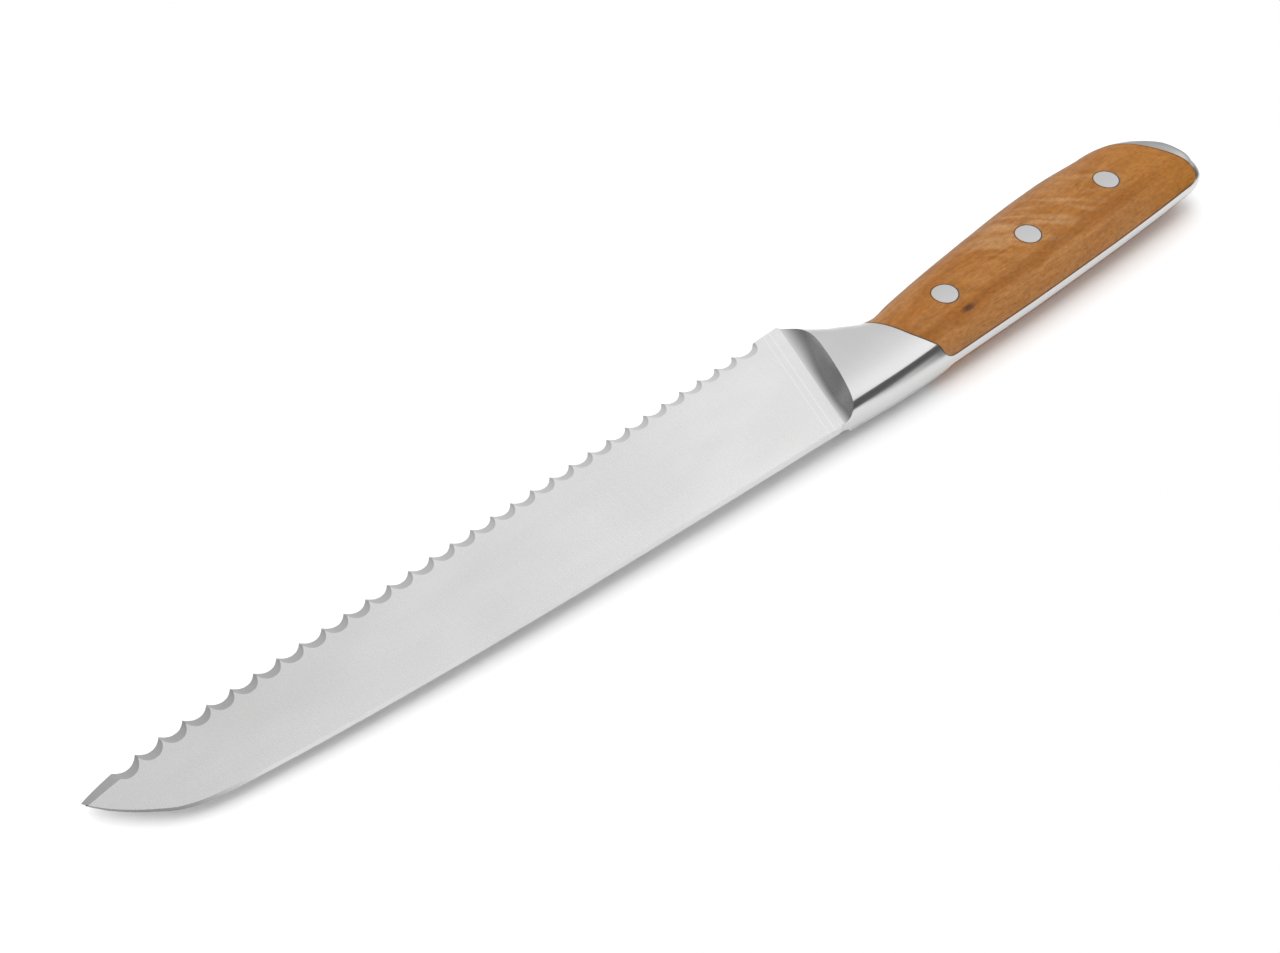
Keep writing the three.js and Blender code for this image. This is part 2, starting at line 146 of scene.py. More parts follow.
# ---- tang, scales, bond and rivets --------------------------------------------------------
TANG_HALF = 1.55
POCKET_FILLET = 4.2
POCKET_DEPTH = 12
POCKET_ACROSS = (-2, -48)
POCKET_ROWS = 60
POCKET_FILLET_STEPS = 7
JOINT_GAP = 0.08
BOND_GAP = 0.16
BOND_THICKNESS = 0.12
FRONT_JOINT = [
    (124.9, -2), (126.4, -18), (127.6, -25), (129.2, -31.6), (131.6, -37), (134.2, -42),
    (136.2, -48),
]
REAR_JOINT = [
    (228, -2), (233.5, -10), (237.8, -16), (241.1, -20.8), (243.9, -26), (246.2, -31.5),
    (247.9, -37.2), (248.8, -48),
]
RIVETS = {"front": (148.3, -28.2), "middle": (184.3, -27.8), "rear": (220.3, -27.5)}
HEAD_RADIUS = 3.67
BARREL_RADIUS = 2.4
PIN_RADIUS = 1.45
BORE_RADIUS = 1.5
HOLE_RADIUS = 2.5
HEAD_SEAT = 5.4
BARREL_END = -4.9
BORE_END = 3.0
PIN_END = 2.6
FIT = 0.05
OUTSIDE = 12
ROUND = 72


# ---- curves and sections --------------------------------------------------------------
def curve(table):
    """A smooth function through [(station, value), ...], as the CAD part uses."""
    xs, ys = (np.array(column, float) for column in zip(*table))
    rise = np.diff(ys) / np.diff(xs)
    slope = np.zeros(len(xs))
    slope[0], slope[-1] = rise[0], rise[-1]
    for i in range(1, len(xs) - 1):
        a, b = rise[i - 1], rise[i]
        slope[i] = 2 * a * b / (a + b) if a * b > 0 else 0

    def value(x):
        if x <= xs[0]:
            return ys[0] + slope[0] * (x - xs[0])
        if x >= xs[-1]:
            return ys[-1]
        i = int(np.searchsorted(xs, x, side="right")) - 1
        span = xs[i + 1] - xs[i]
        t = (x - xs[i]) / span
        s = 1 - t
        ends = s * s * (1 + 2 * t) * ys[i] + t * t * (3 - 2 * t) * ys[i + 1]
        return ends + span * t * s * (s * slope[i] - t * slope[i + 1])

    return value


blade_spine = curve(BLADE_SPINE)
spine_line, belly_line = curve(SPINE_LINE), curve(BELLY_LINE)
spine_lean, side_half, corner_width = curve(SPINE_LEAN), curve(SIDE_HALF), curve(CORNER_WIDTH)
shoulder, crown = curve(SHOULDER), curve(CROWN)
peak_share, fullness = curve(PEAK_SHARE), curve(FULLNESS)
ramp_radius = curve(RAMP_RADIUS)


def along_joint(table):
    """X of a joint line as a smooth function of Y."""
    return curve([(y, x) for x, y in reversed(table)])


front_joint, rear_joint = along_joint(FRONT_JOINT), along_joint(REAR_JOINT)


def face_height(x, y):
    return EDGE_HALF + DISTAL_TAPER * (x - BLADE_END) - FACE_TAPER * (y + 2)


def into_butt(line, start, x):
    if x <= start:
        return line(x)
    share = min(1, (x - start) / (BUTT_X - start)) ** BUTT_POWER
    return BUTT_Y + (line(start) - BUTT_Y) * (1 - share) ** (1 / BUTT_POWER)


def unit(v):
    v = np.array(v, float)
    return v / np.linalg.norm(v)


def upper_section(x):
    """Upper half of the handle's section at X as (y, z), from the spine to the belly."""
    y_spine = into_butt(spine_line, BUTT_SPINE_START, x)
    y_belly = into_butt(belly_line, BUTT_BELLY_START, x)
    width = y_belly - y_spine
    shrink = min(1, width / FULL_WIDTH)
    d = max(0, x - (BUTT_X - BUTT_EDGE)) / BUTT_EDGE
    lift = math.sqrt(max(0, 1 - d * d))
    top, side, brow = crown(x) * lift, side_half(x) * lift, shoulder(x) * lift
    lean, corner = spine_lean(x) * shrink, corner_width(x) * shrink
    peak, full = y_spine + width * peak_share(x), fullness(x)

    points = [(y_spine + lean * s**SIDE_POWER, side * s)
              for s in np.linspace(0, 1, SIDE_STEPS, endpoint=False)]
    start = np.array([y_spine + lean, side])
    end = np.array([y_spine + lean + corner, brow])
    pull = CORNER_PULL * np.linalg.norm(end - start)
    leave = start + pull * unit((SIDE_POWER * lean, side))
    arrive = end - pull * unit((peak - end[0], 2 * CREASE * (top - brow)))
    for t in np.linspace(0, 1, CORNER_STEPS, endpoint=False):
        s = 1 - t
        point = s**3 * start + 3 * s * s * t * leave + 3 * s * t * t * arrive + t**3 * end
        points.append(tuple(point))
    for t in np.linspace(0, 1, CROWN_STEPS, endpoint=False):
        points.append((end[0] + (peak - end[0]) * t, top - (top - brow) * (1 - t) ** 2))
    for angle in np.linspace(0, math.pi / 2, BELLY_STEPS):
        t = math.sin(angle)
        z = top * max(0, 1 - t**full) ** (1 / full)
        points.append((peak + (y_belly - peak) * t, z))
    points[-1] = (y_belly, 0)
    return points


# ---- meshes -----------------------------------------------------------------------------
SHIFT = np.array([CAD_BOX[0].x / MM - TIP[0], CAD_BOX[1].y / MM,
                  (CAD_BOX[0].z + CAD_BOX[1].z) / 2 / MM])


def place(points):
    """Drawing-frame millimetres to row-frame metres."""
    return (np.asarray(points, float) + SHIFT) * MM


def source_material(name):
    """A stand-in material that remembers which surface a face came from."""
    return bpy.data.materials.get("from_" + name) or bpy.data.materials.new("from_" + name)


def mesh_object(name, points, faces, surfaces):
    """A closed mesh; surfaces gives each face's surface name, or one name for all."""
    mesh = bpy.data.meshes.new(name)
    mesh.from_pydata([tuple(p) for p in place(points)], [], faces)
    names = [surfaces] * len(faces) if isinstance(surfaces, str) else surfaces
    used = sorted(set(names))
    for surface in used:
        mesh.materials.append(source_material(surface))
    mesh.polygons.foreach_set("material_index", [used.index(n) for n in names])
    work = bmesh.new()
    work.from_mesh(mesh)
    bmesh.ops.recalc_face_normals(work, faces=work.faces)
    if work.calc_volume(signed=True) < 0:
        bmesh.ops.reverse_faces(work, faces=work.faces)
    work.to_mesh(mesh)
    work.free()
    piece = bpy.data.objects.new(name, mesh)
    bpy.context.scene.collection.objects.link(piece)
    return piece


def loft(name, rings, surface):
    """Skins a row of equal rings and closes both ends."""
    n = len(rings[0])
    faces = []
    for start in range(0, (len(rings) - 1) * n, n):
        for i in range(n):
            a, b = start + i, start + (i + 1) % n
            faces.append((a, b, b + n, a + n))
    last = (len(rings) - 1) * n
    faces += [tuple(range(n)), tuple(range(last, last + n))]
    return mesh_object(name, np.concatenate(rings), faces, surface)


def handle_rings():
    last = BUTT_X - BUTT_FLAT
    rear = [last - (last - HANDLE_REAR) * (1 - t) ** 2 for t in np.linspace(0, 1, BUTT_STATIONS)]
    rings = []
    for x in [*np.linspace(BODY_FRONT, HANDLE_REAR, BODY_STATIONS, endpoint=False), *rear]:
        upper = upper_section(x)
        lower = [(y, -z) for y, z in reversed(upper[1:-1])]
        rings.append(np.array([(x, y, z) for y, z in [*upper, *lower]]))
    return rings


def ramp_foot(y):
    return RAMP_X + RAMP_SKEW * (y - RAMP_Y)


def ramp_cutter(side):
    """Everything in front of the concave ramp, above (side 1) or below (-1) the blade."""
    rings = []
    for y in np.linspace(*RAMP_ACROSS, RAMP_ROWS):
        foot = ramp_foot(y)
        foot_z = face_height(foot, y) - RAMP_SINK
        radius, skewed = ramp_radius(y), math.hypot(1, RAMP_SKEW)
        profile = [(foot - RAMP_AHEAD, RAMP_FLOOR), (foot - RAMP_LIP, RAMP_FLOOR)]
        for a in np.linspace(0, RAMP_SLOPE, RAMP_STEPS):
            profile.append((foot + skewed * radius * math.sin(a),
                            foot_z + radius * (1 - math.cos(a))))
        arc_x, arc_z = profile[-1]
        top = arc_x + skewed * (OUTSIDE - arc_z) / math.tan(RAMP_SLOPE)
        profile += [(top, OUTSIDE), (foot - RAMP_AHEAD, OUTSIDE)]
        rings.append(np.array([(x, y, side * z) for x, z in profile]))
    return loft(f"ramp_cutter_{side}", rings, "ramp")


def pocket_outline(inset):
    ys = np.linspace(*POCKET_ACROSS, POCKET_ROWS)
    return [*[(front_joint(y) + inset, y) for y in ys],
            *[(rear_joint(y) - inset, y) for y in reversed(ys)]]


def pocket_tool(side, inset, lift, surface):
    """The space of a scale: between the joints, with a fillet down to the tang."""
    rings = []
    for a in np.linspace(0, math.pi / 2, POCKET_FILLET_STEPS):
        level = TANG_HALF + lift + POCKET_FILLET * (1 - math.cos(a))
        outline = pocket_outline(inset + POCKET_FILLET * (1 - math.sin(a)))
        rings.append(np.array([(x, y, side * level) for x, y in outline]))
    top = rings[-1].copy()
    top[:, 2] = side * POCKET_DEPTH
    return loft(f"pocket_{side}_{lift}", [*rings, top], surface)


def bond_slab(side):
    outline = pocket_outline(JOINT_GAP + POCKET_FILLET)
    low = TANG_HALF + (BOND_GAP - BOND_THICKNESS) / 2
    rings = [np.array([(x, y, side * z) for x, y in outline]) for z in (low, low + BOND_THICKNESS)]
    return loft(f"bond_slab_{side}", rings, "bond")


def turned(name, profile, centre, surface):
    """A solid turned about a rivet's axis from a [(radius, z), ...] profile on the axis."""
    angles = np.linspace(0, 2 * math.pi, ROUND, endpoint=False)
    points = [(*centre, profile[0][1]), (*centre, profile[-1][1])]
    for r, z in profile[1:-1]:
        points += [(centre[0] + r * math.cos(a), centre[1] + r * math.sin(a), z) for a in angles]
    rows = len(profile) - 2
    faces = []
    for i in range(ROUND):
        j = (i + 1) % ROUND
        faces.append((0, 2 + i, 2 + j))
        faces.append((1, 2 + (rows - 1) * ROUND + j, 2 + (rows - 1) * ROUND + i))
        for row in range(rows - 1):
            a, b = 2 + row * ROUND, 2 + (row + 1) * ROUND
            faces.append((a + i, b + i, b + j, a + j))
    return mesh_object(name, points, faces, surface)


def cusp(i):
    if i == SCALLOPS:
        return LAST_CUSP
    x = FIRST_CUSP + i * PITCH
    return x, -TIP_DROOP[1] * max(0, TIP_DROOP[0] - x) ** 3 - HEEL_DROOP * max(0, x)


def plain_edge():
    start, tip_grind = cusp(0), TIP[1] - TIP_GRIND[1]
    pairs = [(TIP, TIP_GRIND)]
    for t in np.arange(1, PLAIN_STEPS) / PLAIN_STEPS:
        x = TIP[0] + (start[0] - TIP[0]) * t
        y = TIP[1] + (start[1] - TIP[1]) * (t + 0.3 * t * (1 - t))
        pairs.append(((x, y), (x, y - tip_grind - (PLAIN_GRIND - tip_grind) * math.sqrt(t))))
    return pairs


def scallop_edge(i):
    """One scallop, cusp to cusp, as pairs (edge on the back face, bevel's inner end)."""
    (x0, y0), (x1, y1) = cusp(i), cusp(i + 1)
    grind = GRIND_TIP + (GRIND_HEEL - GRIND_TIP) * i / SCALLOPS - CUSP_GRIND
    across, along = CRESCENT_SHAPE
    pairs = []
    for u in np.arange(SCALLOP_STEPS + 1) / SCALLOP_STEPS:
        v = abs(2 * u - 1)
        x, line = x0 + (x1 - x0) * u, y0 + (y1 - y0) * u
        edge = line - SCALLOP_DEPTH * (1 - v**SCALLOP_ROUNDNESS)
        inner = line - CUSP_GRIND - grind * max(0, 1 - v**across) ** along
        if i == 0 and u < 0.5:
            inner = min(inner, line - PLAIN_GRIND)
        pairs.append(((x, edge), (x, inner)))
    return pairs


def edge_patches():
    patches = [[*plain_edge(), scallop_edge(0)[0]], *[scallop_edge(i) for i in range(SCALLOPS)]]
    patches[-1][-1] = (LAST_CUSP, LAST_GRIND)
    return [*patches, [(LAST_CUSP, LAST_GRIND), (HEEL, HEEL)]]


def spine_stations():
    shares = np.arange(SPINE_STATIONS) / SPINE_STATIONS
    xs = BLADE_END - (BLADE_END - TIP_GRIND[0]) * shares**SPINE_CROWDING
    return [(x, blade_spine(x)) for x in xs]


def blade_solid(patches):
    """The blade between its two faces; the back face's outline also holds the ground tip."""
    pairs = [pair for patch in patches[:-1] for pair in patch[:-1]] + patches[-1]
    shared = [*BLADE_ROOT, *spine_stations()]
    back = [*[p[0] for p in pairs], *shared, TIP_GRIND]
    front = [*[p[1] for p in pairs], *shared]
    points = [(x, y, -face_height(x, y)) for x, y in back]
    points += [(x, y, face_height(x, y)) for x, y in front]
    n, m, edges = len(back), len(front), len(pairs)
    tip = [(n - 2, n - 1, n + m - 1), (n - 1, n, n + m - 1), (n - 1, 0, n)]
    faces = [tuple(range(n)), tuple(range(n, n + m)), *tip]
    surfaces = ["face", "face", "spine", "spine", "bevel"]
    for i in range(m - 1):
        faces.append((i, i + 1, n + i + 1, n + i))
        surfaces.append("bevel" if i < edges - 1 else "spine")
    return mesh_object("blade_solid", points, faces, surfaces)


# ---- joining, cutting and shading -----------------------------------------------------------
def combine(piece, operation, tools):
    """Applies booleans to piece, one tool after another."""
    for tool in tools:
        cut = piece.modifiers.new("cut", "BOOLEAN")
        cut.operation, cut.object, cut.solver = operation, tool, "MANIFOLD"
        cut.material_mode = "TRANSFER"
        bpy.context.view_layer.update()
        result = bpy.data.meshes.new_from_object(
            piece.evaluated_get(bpy.context.evaluated_depsgraph_get()))
        piece.modifiers.clear()
        piece.data = result
    return piece


def triangulate(piece):
    """Cuts the large flat faces of the blade into well-shaped triangles, not long slivers."""
    work = bmesh.new()
    work.from_mesh(piece.data)
    for x in np.arange(TIP[0] + FACE_CUTS, BLADE_END, FACE_CUTS):
        bmesh.ops.bisect_plane(work, geom=[*work.verts, *work.edges, *work.faces],
                               plane_co=place((x, 0, 0)).tolist(), plane_no=(1, 0, 0))
    bmesh.ops.triangulate(work, faces=[f for f in work.faces if len(f.verts) > 4],
                          ngon_method="BEAUTY")
    work.to_mesh(piece.data)
    work.free()


def copy_of(piece, name):
    twin = piece.copy()
    twin.data, twin.name = piece.data.copy(), name
    bpy.context.scene.collection.objects.link(twin)
    return twin


class BladeFace:
    """Normals of the two flat faces of the blade."""

    def at(self, point, facing):
        above = point[2] / MM > SHIFT[2]
        return unit((-DISTAL_TAPER, FACE_TAPER, 1 if above else -1))


SLIVER_AREA = 1e-30
SHARP = 0.7                     # least cosine between a smooth normal and its facet's own


class Smooth:
    """Smooth normals of one surface, looked up at any point on it."""

    def __init__(self, points, faces, lean_x=1.0):
        triangles = [t for f in faces for t in [(f[0], f[i], f[i + 1]) for i in range(1, len(f) - 1)]]
        self.points = np.asarray(points)
        self.triangles = np.array(triangles)
        a, b, c = (self.points[self.triangles[:, k]] for k in range(3))
        flat = np.cross(b - a, c - a)
        self.normals = np.zeros_like(self.points)
        for k in range(3):
            np.add.at(self.normals, self.triangles[:, k], flat)
        self.normals[:, 0] *= lean_x
        self.normals /= np.maximum(np.linalg.norm(self.normals, axis=1, keepdims=True), 1e-20)
        self.tree = BVHTree.FromPolygons(self.points.tolist(), triangles)

    def at(self, point, facing):
        """The normal at the nearest place, on the same side as the facet's own normal."""
        nearest, _, index, _ = self.tree.find_nearest(point)
        corners = self.triangles[index]
        a, b, c = self.points[corners]
        u, v, w = b - a, c - a, np.array(nearest) - a
        uu, uv, vv, wu, wv = u @ u, u @ v, v @ v, w @ u, w @ v
        area = uu * vv - uv * uv
        if area < SLIVER_AREA:
            return facing
        s, t = (vv * wu - uv * wv) / area, (uu * wv - uv * wu) / area
        n = (1 - s - t) * self.normals[corners[0]] + s * self.normals[corners[1]] \
            + t * self.normals[corners[2]]
        return n if n @ facing > 0 else -n


def strips(patches):
    """Points and quads of separate two-row strips."""
    points, faces = [], []
    for rows in patches:
        start = len(points)
        for a, b in rows:
            points += [a, b]
        for i in range(len(rows) - 1):
            k = start + 2 * i
            faces.append((k, k + 2, k + 3, k + 1))
    return place(points), faces


def corner_normals(mesh, came_from, smooth):
    """A normal for each face corner, from the surface that the face came from."""
    loops = np.zeros(len(mesh.loops), int)
    mesh.loops.foreach_get("vertex_index", loops)
    points = np.array([v.co for v in mesh.vertices])
    normals = np.zeros((len(mesh.loops), 3))
    known = {}
    for face in mesh.polygons:
        surface, own = came_from[face.material_index], np.array(face.normal)
        for k in face.loop_indices:
            normals[k] = own
            if surface in smooth:
                key = (surface, int(loops[k]), bool(own[2] > 0))
                if key not in known:
                    known[key] = smooth[surface].at(points[loops[k]].tolist(), own)
                if known[key] @ own > SHARP or surface == "face":
                    normals[k] = known[key]
    return normals


def give_materials(mesh, wanted):
    """Gives each face the material that is wanted for the slot it has now."""
    distinct = list(dict.fromkeys(wanted))
    slots = [distinct.index(wanted[f.material_index]) for f in mesh.polygons]
    mesh.materials.clear()
    for material in distinct:
        mesh.materials.append(material)
    mesh.polygons.foreach_set("material_index", slots)


def shade(piece, materials, smooth):
    """Gives each face its final material, and normals from the surface it came from."""
    mesh = piece.data
    came_from = [m.name[len("from_"):].split(".")[0] for m in mesh.materials]
    normals = corner_normals(mesh, came_from, smooth)
    give_materials(mesh, [materials[name] for name in came_from])
    mesh.polygons.foreach_set("use_smooth", [True] * len(mesh.polygons))
    mesh.normals_split_custom_set(normals.tolist())
    mesh.update()


# ---- shaders ------------------------------------------------------------------------------
class Nodes:
    """Adds nodes to a tree and hands back their outputs; inputs are sockets or constants."""

    def __init__(self, tree):
        self.tree = tree

    def add(self, kind, **settings):
        node = self.tree.nodes.new(kind)
        for key, value in settings.items():
            setattr(node, key, value)
        return node

    def plug(self, socket, value):
        if isinstance(value, bpy.types.NodeSocket):
            self.tree.links.new(value, socket)
        else:
            socket.default_value = value

    def vector(self, operation, a, b=None, scale=None):
        node = self.add("ShaderNodeVectorMath", operation=operation)
        self.plug(node.inputs[0], a)
        if b is not None:
            self.plug(node.inputs[1], b)
        if scale is not None:
            self.plug(node.inputs["Scale"], scale)
        return node.outputs["Value" if operation in ("LENGTH", "DOT_PRODUCT") else "Vector"]

    def math(self, operation, a, b=0.0, c=0.0):
        node = self.add("ShaderNodeMath", operation=operation)
        for socket, value in zip(node.inputs, (a, b, c)):
            self.plug(socket, value)
        return node.outputs[0]

    def step(self, value, low, high, out_low=0.0, out_high=1.0):
        """Smooth step of value between low and high."""
        node = self.add("ShaderNodeMapRange", interpolation_type="SMOOTHSTEP")
        for socket, v in zip(node.inputs, (value, low, high, out_low, out_high)):
            self.plug(socket, v)
        return node.outputs[0]


class Shader(Nodes):
    """A Principled material built up node by node; P is the drawing-frame position in mm."""

    def __init__(self, name, **constants):
        self.material = bpy.data.materials.new(name)
        self.material.use_nodes = True
        super().__init__(self.material.node_tree)
        self.surface = self.tree.nodes["Principled BSDF"]
        for socket, value in constants.items():
            self.surface.inputs[socket.replace("_", " ")].default_value = value
        where = self.add("ShaderNodeTexCoord").outputs["Object"]
        scaled = self.vector("SCALE", where, scale=1 / MM)
        self.P = self.vector("SUBTRACT", scaled, tuple(SHIFT))

    def noise(self, stretch, seed=0.0, detail=3.0, rough=0.5, distort=0.0, where=None):
        """Noise with features about `stretch` mm long in X, Y and Z."""
        moved = self.vector("MULTIPLY_ADD", where or self.P, tuple(1 / s for s in stretch))
        moved.node.inputs[2].default_value = (seed, seed * 1.7, seed * 0.3)
        node = self.add("ShaderNodeTexNoise")
        node.inputs["Scale"].default_value = 1
        node.inputs["Detail"].default_value = detail
        node.inputs["Roughness"].default_value = rough
        node.inputs["Distortion"].default_value = distort
        self.plug(node.inputs["Vector"], moved)
        return node.outputs["Fac"]

    def mix(self, factor, a, b, blend="MIX"):
        node = self.add("ShaderNodeMix", data_type="RGBA", blend_type=blend)
        self.plug(node.inputs["Factor"], factor)
        self.plug(node.inputs[6], a)
        self.plug(node.inputs[7], b)
        return node.outputs[2]

    def axis(self, letter):
        node = self.add("ShaderNodeSeparateXYZ")
        self.plug(node.inputs[0], self.P)
        return node.outputs[letter]

    def joined(self, x, y, z):
        node = self.add("ShaderNodeCombineXYZ")
        for socket, value in zip(node.inputs, (x, y, z)):
            self.plug(socket, value)
        return node.outputs[0]

    def bump(self, height, distance):
        node = self.add("ShaderNodeBump")
        node.inputs["Strength"].default_value = 1
        node.inputs["Distance"].default_value = distance * MM
        self.plug(node.inputs["Height"], height)
        self.plug(self.surface.inputs["Normal"], node.outputs["Normal"])

    def finish(self, **links):
        for socket, value in links.items():
            self.plug(self.surface.inputs[socket.replace("_", " ")], value)
        return self.material


def grey(value):
    return value, value, value, 1.0


def ground_steel(name, value, rough, lines, bump, patch=0.03):
    """Satin steel with grinding lines; `lines` is the size of a scratch in X, Y and Z."""
    s = Shader(name, Metallic=1.0)
    fine = s.noise(lines, seed=3.1, detail=4, rough=0.6)
    broad = s.noise(tuple(5 * v for v in lines), seed=8.4, detail=2)
    cloud = s.noise((38, 16, 16), seed=1.7, detail=2)
    shade_ = s.step(cloud, 0.3, 0.7, 1 - patch, 1 + patch)
    streak_and_shade = s.step(broad, 0.3, 0.7, 0.995, 1.005)
    colour = s.mix(1.0, grey(value), s.math("MULTIPLY", shade_, streak_and_shade), "MULTIPLY")
    roughness = s.step(fine, 0.25, 0.75, rough * 0.94, rough * 1.06)
    s.bump(s.math("ADD", fine, s.math("MULTIPLY", broad, 1.5)), bump)
    return s, colour, roughness


GRIND_LINES = [(3.0, 0.45), (5.2, 0.35)]   # how far ahead of the ramp's foot, and how wide


def blade_steel():
    s, colour, roughness = ground_steel("blade_steel", 0.80, 0.27, (0.10, 9.0, 4.0), 0.00004)
    # Two faint grind lines run parallel to the foot of the ramp.
    x, y = s.axis("X"), s.axis("Y")
    ahead = s.math("SUBTRACT", s.math("MULTIPLY_ADD", y, RAMP_SKEW, RAMP_X - RAMP_SKEW * RAMP_Y), x)
    for distance, width in GRIND_LINES:
        off = s.math("ABSOLUTE", s.math("SUBTRACT", ahead, distance))
        colour = s.mix(s.step(off, width, 0.0, 0.0, 0.35), colour, grey(0.95))
    return s.finish(Base_Color=colour, Roughness=roughness)


def bevel_steel():
    """The scallops' ground bevels, with a painted reflection that brightens them towards the heel."""
    s, colour, roughness = ground_steel("bevel_steel", 0.72, 0.30, (0.16, 4.0, 4.0), 0.0005)
    # Painted reflection: the bevels' colour brightens towards the heel, standing in for the brighter
    # light they mirror there.
    heel_painted_reflection = s.step(s.axis("X"), -110, 100, 0.80, 1.05)
    colour = s.mix(1.0, colour, heel_painted_reflection, "MULTIPLY")
    return s.finish(Base_Color=colour, Roughness=roughness)


def spine_steel():
    """The tang and the holes in it."""
    s, colour, roughness = ground_steel("spine_steel", 0.80, 0.30, (5.0, 0.15, 0.10), 0.0005)
    return s.finish(Base_Color=colour, Roughness=roughness)


def back_steel():
    """The ground back of the blade, with painted shade where it rounds down to the tip."""
    s, colour, roughness = ground_steel("back_steel", 0.67, 0.30, (5.0, 0.15, 0.10), 0.0003)
    # Painted shade: the colour darkens where the back turns down to the tip, standing in for the dark
    # surroundings it mirrors there.
    colour = s.mix(1.0, colour, s.step(s.axis("X"), -98, -72, 0.35, 1.0), "MULTIPLY")
    return s.finish(Base_Color=colour, Roughness=roughness)


def bolster_steel():
    s, colour, roughness = ground_steel("bolster_steel", 0.63, 0.29, (0.12, 7.0, 3.0), 0.00005,
                                        patch=0.015)
    return s.finish(Base_Color=colour, Roughness=roughness)


def ramp_steel():
    s, colour, roughness = ground_steel("ramp_steel", 0.72, 0.22, (0.12, 6.0, 0.12), 0.00015)
    return s.finish(Base_Color=colour, Roughness=roughness)


def rivet_steel():
    s, colour, roughness = ground_steel("rivet_steel", 0.60, 0.34, (2.5, 0.12, 0.2), 0.0004)
    return s.finish(Base_Color=colour, Roughness=roughness)


def bond_resin():
    s = Shader("bond_resin", Roughness=0.6)
    speck = s.noise((0.4, 0.3, 0.2), detail=2)
    colour = s.mix(speck, (0.035, 0.020, 0.012, 1), (0.085, 0.050, 0.028, 1))
    s.bump(speck, 0.01)
    return s.finish(Base_Color=colour)


KNOT = (149.3, -35.9)
SHEEN_FIGURE_CENTRE = (193, -24)      # the wood's figure and its painted sheen are strongest here
SHEEN_FIGURE_REACH = (34, 15)
BUTT_SIDE = (212, 242)          # over this length the wood turns a fuller orange
SEAM_DARK = (0.60, 0.15)        # glue and painted shade in the gap darken the wood from this far off a joint, in mm
RIM_DARK = (0.52, 0.18)         # and from this far off a rivet's rim

WOOD_DEEP = (0.270, 0.088, 0.006, 1)
WOOD_LIGHT = (0.350, 0.138, 0.022, 1)
WOOD_PATCH = (0.390, 0.178, 0.050, 1)
WOOD_FIGURE_SHEEN = (0.430, 0.235, 0.098, 1)
WOOD_SIDE_HIGHLIGHT = (0.400, 0.180, 0.058, 1)
WOOD_STREAK_AND_SHADE = (0.255, 0.084, 0.005, 1)
WOOD_BELLY = (0.250, 0.120, 0.060, 1)
WOOD_BUTT = (0.350, 0.130, 0.010, 1)
WOOD_KNOT = (0.060, 0.018, 0.010, 1)
WOOD_GLUE_AND_SHADE = (0.050, 0.026, 0.014, 1)


def from_centre(s, centre, scale):
    """Length of the vector from a centre in the drawing plane, scaled in X and Y."""
    apart = s.vector("SUBTRACT", s.P, (*centre, 0))
    return s.vector("LENGTH", s.vector("MULTIPLY", apart, (*scale, 0)))


def wood_figure_and_painted_light(s, x, y, wander, grain):
    """Growth rings and patches along the grain, pale bands across it that are partly figure and
    partly painted sheen, and a painted highlight and shade along the spine side.
    """
    slanted = s.joined(s.math("MULTIPLY_ADD", y, 0.9, x), s.math("MULTIPLY_ADD", x, -0.3, y),
                       s.axis("Z"))
    rings = s.noise((45, 2.6, 4.5), seed=2.0, detail=4, rough=0.6, where=grain)
    patches = s.noise((16, 7, 9), seed=6.1, detail=2, where=grain)
    figure_sheen_noise = s.noise((4.2, 15, 12), seed=7.3, detail=2, rough=0.4, distort=0.25, where=slanted)

    colour = s.mix(s.step(rings, 0.33, 0.66), WOOD_DEEP, WOOD_LIGHT)
    colour = s.mix(s.step(patches, 0.42, 0.7, 0.0, 0.55), colour, WOOD_PATCH)
    # Pale bands lie across the grain round the middle rivet: partly the wood's figure, partly a
    # painted sheen.
    reach = from_centre(s, SHEEN_FIGURE_CENTRE, (1 / SHEEN_FIGURE_REACH[0], 1 / SHEEN_FIGURE_REACH[1]))
    figure_sheen_weight = s.math("MULTIPLY_ADD", s.step(reach, 1.1, 0.35), 0.72, 0.1)
    figure_sheen_band = s.math("MULTIPLY", s.step(figure_sheen_noise, 0.42, 0.72), figure_sheen_weight)
    colour = s.mix(figure_sheen_band, colour, WOOD_FIGURE_SHEEN)
    # Painted highlight: a paler, pinker band beside the tang lights the spine-side face of the scale.
    # Above it a dark orange streak is partly the wood's grain and partly painted shade where the side
    # rounds over into the top.
    edge = s.math("SUBTRACT", y, s.math("MULTIPLY_ADD", wander, 2.5, -39.6))
    colour = s.mix(s.step(edge, 1.0, -0.6, 0.0, 0.7), colour, WOOD_SIDE_HIGHLIGHT)
    streak_and_shade = s.math("ABSOLUTE", s.math("SUBTRACT", edge, 3.0))
    colour = s.mix(s.step(streak_and_shade, 3.4, 0.3, 0.0, 0.75), colour, WOOD_STREAK_AND_SHADE)
    # The belly side darkens towards violet, and the butt is a fuller orange.
    colour = s.mix(s.step(edge, 18.0, 27.0, 0.0, 0.45), colour, WOOD_BELLY)
    return s.mix(s.step(x, *BUTT_SIDE, 0.0, 0.7), colour, WOOD_BUTT)


def glue_and_gap_shade(s):
    """How much the wood is darkened where it meets the steel and round the rivets: partly by glue,
    partly by painted shade in the gap.
    """
    seam = s.add("ShaderNodeAttribute", attribute_name="seam").outputs["Fac"]
    glue_and_shade = s.step(seam, *SEAM_DARK, 0.0, 0.8)
    for centre in RIVETS.values():
        rim = s.math("SUBTRACT", from_centre(s, centre, (1, 1)), HEAD_RADIUS)
        glue_and_shade = s.math("MAXIMUM", glue_and_shade, s.step(rim, *RIM_DARK, 0.0, 0.9))
    return glue_and_shade


